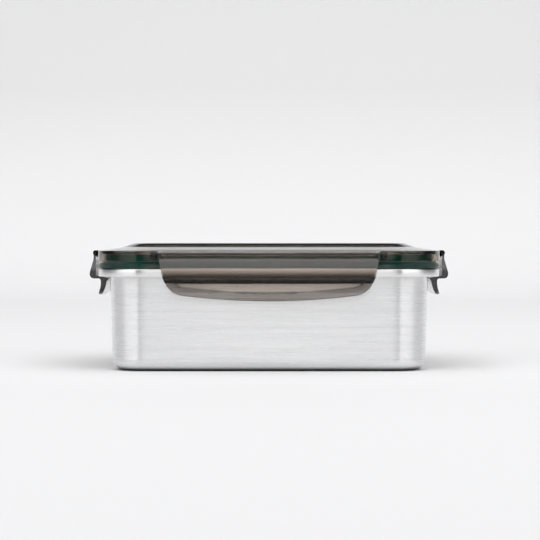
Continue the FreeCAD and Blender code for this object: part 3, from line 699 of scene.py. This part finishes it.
lug_smoke = smoke_plastic("lug_smoke", 1600.0, 0.03, 0.07)
for side, (half_span, depth, place) in SIDES.items():
    for hand, sign in (("near", -1), ("far", 1)):
        skin = set_on_side(lug_skin(half_span + LUG_GAP, sign), place)
        lug = grid_piece(f"{side}_{hand}_lug", skin, ring=False, loop=True)
        lug.data.materials.append(lug_smoke)
        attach(lug, "lid")

# The hinge pins. Plain drawn steel wire with chamfered ends, pushed through the lugs and the latch's
# knuckle. They keep their own solid shape and get the blackened finish of drawn wire.


def drawn_wire():
    """Dark steel with faint marks from drawing: fine noise in the tone and the roughness."""
    material, tree, shader, add = new_material("drawn_wire")
    link = tree.links.new
    place = add("ShaderNodeTexCoord")
    marks = add("ShaderNodeTexNoise", Scale=1400.0, Detail=3.0)
    tone = add("ShaderNodeValToRGB")
    tone.color_ramp.elements[0].color = (0.045, 0.045, 0.047, 1)
    tone.color_ramp.elements[1].color = (0.075, 0.075, 0.078, 1)
    rough = add("ShaderNodeMapRange")
    rough.inputs["To Min"].default_value, rough.inputs["To Max"].default_value = 0.12, 0.30
    link(place.outputs["Object"], marks.inputs["Vector"])
    link(marks.outputs["Fac"], tone.inputs["Fac"])
    link(marks.outputs["Fac"], rough.inputs["Value"])
    link(tone.outputs["Color"], shader.inputs["Base Color"])
    link(rough.outputs["Result"], shader.inputs["Roughness"])
    shader.inputs["Metallic"].default_value = 1.0
    return material


wire = drawn_wire()
for side in SIDES:
    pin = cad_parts[f"{side}_hinge_pin"]
    pin.data.materials.clear()
    pin.data.materials.append(wire)

# The studio. A pale paper sweep runs under the box and up behind it, with soft light from above and the
# front, and darker surroundings at the sides that the steel's round corners pick up.


def paper_sweep():
    """A floor line that turns up through a quarter circle into a back wall, carried across in X."""
    turn = np.linspace(0, math.pi / 2, 24)
    line_y = np.concatenate([[-0.95, -0.4, 0.0, 0.6], 1.2 + 0.6 * np.sin(turn), [1.8]])
    line_z = np.concatenate([[0, 0, 0, 0], 0.6 - 0.6 * np.cos(turn), [0.82]])
    across = np.linspace(-3, 3, 9)
    x, y = np.meshgrid(across, line_y, indexing="ij")
    return np.stack([x, y, np.broadcast_to(line_z, x.shape)], -1)


def worked(tree, operation, first, second):
    """A maths node on two sockets or plain numbers."""
    node = tree.nodes.new("ShaderNodeMath")
    node.operation = operation
    for socket, source in zip(node.inputs, (first, second)):
        if isinstance(source, float):
            socket.default_value = source
        else:
            tree.links.new(source, socket)
    return node.outputs[0]


def ramped(tree, source, *steps):
    """A grey ramp. Each step is a place along it and the grey there."""
    node = tree.nodes.new("ShaderNodeValToRGB")
    tree.links.new(source, node.inputs["Fac"])
    for _ in steps[1:-1]:
        node.color_ramp.elements.new(0.5)
    for element, (place, grey) in zip(node.color_ramp.elements, steps):
        element.position, element.color = place, (grey, grey, grey, 1)
    return node.outputs["Color"]


def mixed(tree, blend, share, first, second):
    """Two colours mixed by a share, blended in one of the ways the mix node has."""
    node = tree.nodes.new("ShaderNodeMix")
    node.data_type, node.blend_type = "RGBA", blend
    sockets = node.inputs["Factor"], node.inputs[6], node.inputs[7]
    for socket, source in zip(sockets, (share, first, second)):
        if isinstance(source, (float, tuple)):
            socket.default_value = source
        else:
            tree.links.new(source, socket)
    return node.outputs[2]


def compass_share(tree, axes):
    """A direction's angle from straight ahead of the front, as a share of half a turn: the arc tangent of
    the way across over the way ahead."""
    across = worked(tree, "ABSOLUTE", axes.outputs["X"], 0.0)
    ahead = worked(tree, "MULTIPLY", axes.outputs["Y"], -1.0)
    return worked(tree, "DIVIDE", worked(tree, "ARCTAN2", across, ahead), math.pi)


def paper_tones(tree):
    """The paper's grey, a little dimmer up the back wall."""
    place, axes = tree.nodes.new("ShaderNodeTexCoord"), tree.nodes.new("ShaderNodeSeparateXYZ")
    tree.links.new(place.outputs["Object"], axes.inputs["Vector"])
    climb = worked(tree, "DIVIDE", axes.outputs["Z"], 0.3)
    return mixed(tree, "MIX", climb, (0.82, 0.82, 0.829, 1), (0.665, 0.665, 0.668, 1))


def room_tones(tree):
    """The room's grey by direction. One ramp goes by compass angle, with a dark post to each side of the
    front. Two go by elevation: in front a dark line at eye level, a bright wall and a dark ceiling, and
    behind the same ceiling from just over the paper. Front and back meet at the sides."""
    aim, axes = tree.nodes.new("ShaderNodeTexCoord"), tree.nodes.new("ShaderNodeSeparateXYZ")
    tree.links.new(aim.outputs["Generated"], axes.inputs["Vector"])
    compass = compass_share(tree, axes)
    height = worked(tree, "DIVIDE", worked(tree, "ARCSINE", axes.outputs["Z"], 0.0), math.pi)
    height = worked(tree, "ADD", height, 0.5)
    by_side = (0.0, 1.3), (0.022, 1.3), (0.034, 0.01), (0.085, 0.01), (0.11, 1.2), (0.34, 1.15)
    sides = ramped(tree, compass, *by_side, (0.43, 0.3), (0.55, 0.15), (1.0, 0.4))
    eye_level = (0.0, 0.5), (0.467, 0.9), (0.475, 0.05), (0.518, 0.05)
    front = ramped(tree, height, *eye_level, (0.53, 1.3), (0.79, 1.3), (0.84, 0.2), (1.0, 0.15))
    back = ramped(tree, height, (0.0, 0.8), (0.62, 0.8), (0.65, 0.15), (1.0, 0.1))
    behind = ramped(tree, compass, (0.45, 0.0), (0.55, 1.0))
    return mixed(tree, "MULTIPLY", 1.0, mixed(tree, "MIX", behind, front, back), sides)


sweep = grid_piece("paper_sweep", paper_sweep(), ring=False)
paper, paper_tree, paper_shader, _ = new_material("pale_paper")
paper_tree.links.new(paper_tones(paper_tree), paper_shader.inputs["Base Color"])
paper_shader.inputs["Roughness"].default_value = 0.9
paper_shader.inputs["Specular IOR Level"].default_value = 0.1
sweep.data.materials.append(paper)

world = bpy.data.worlds.new("studio")
world.use_nodes = True
scene.world = world
surround = world.node_tree.nodes["Background"]
surround.inputs["Strength"].default_value = 1.0
world.node_tree.links.new(room_tones(world.node_tree), surround.inputs["Color"])


def soft_box(name, spot, aim, size, power):
    """A square lamp at a place, turned to a point."""
    lamp = bpy.data.lights.new(name, "AREA")
    lamp.size, lamp.energy = size, power
    holder = bpy.data.objects.new(name, lamp)
    holder.location = spot
    holder.rotation_euler = (Vector(aim) - Vector(spot)).to_track_quat("-Z", "Y").to_euler()
    scene.collection.objects.link(holder)


soft_box("overhead_light", (0.1, -0.3, 2.0), (0.1, -0.3, 0), 3.0, 48)

CAMERA_SPOT, CAMERA_AIM = Vector((0.0006, -1.1, 0.0731)), Vector((0.0006, 0.0, 0.0554))
lens = bpy.data.cameras.new("front_camera")
lens.sensor_width = 36
lens.lens = 125.07
camera = bpy.data.objects.new("front_camera", lens)
camera.location = CAMERA_SPOT
camera.rotation_euler = (CAMERA_AIM - CAMERA_SPOT).to_track_quat("-Z", "Y").to_euler()
scene.collection.objects.link(camera)
scene.camera = camera
scene.view_settings.view_transform = "Standard"
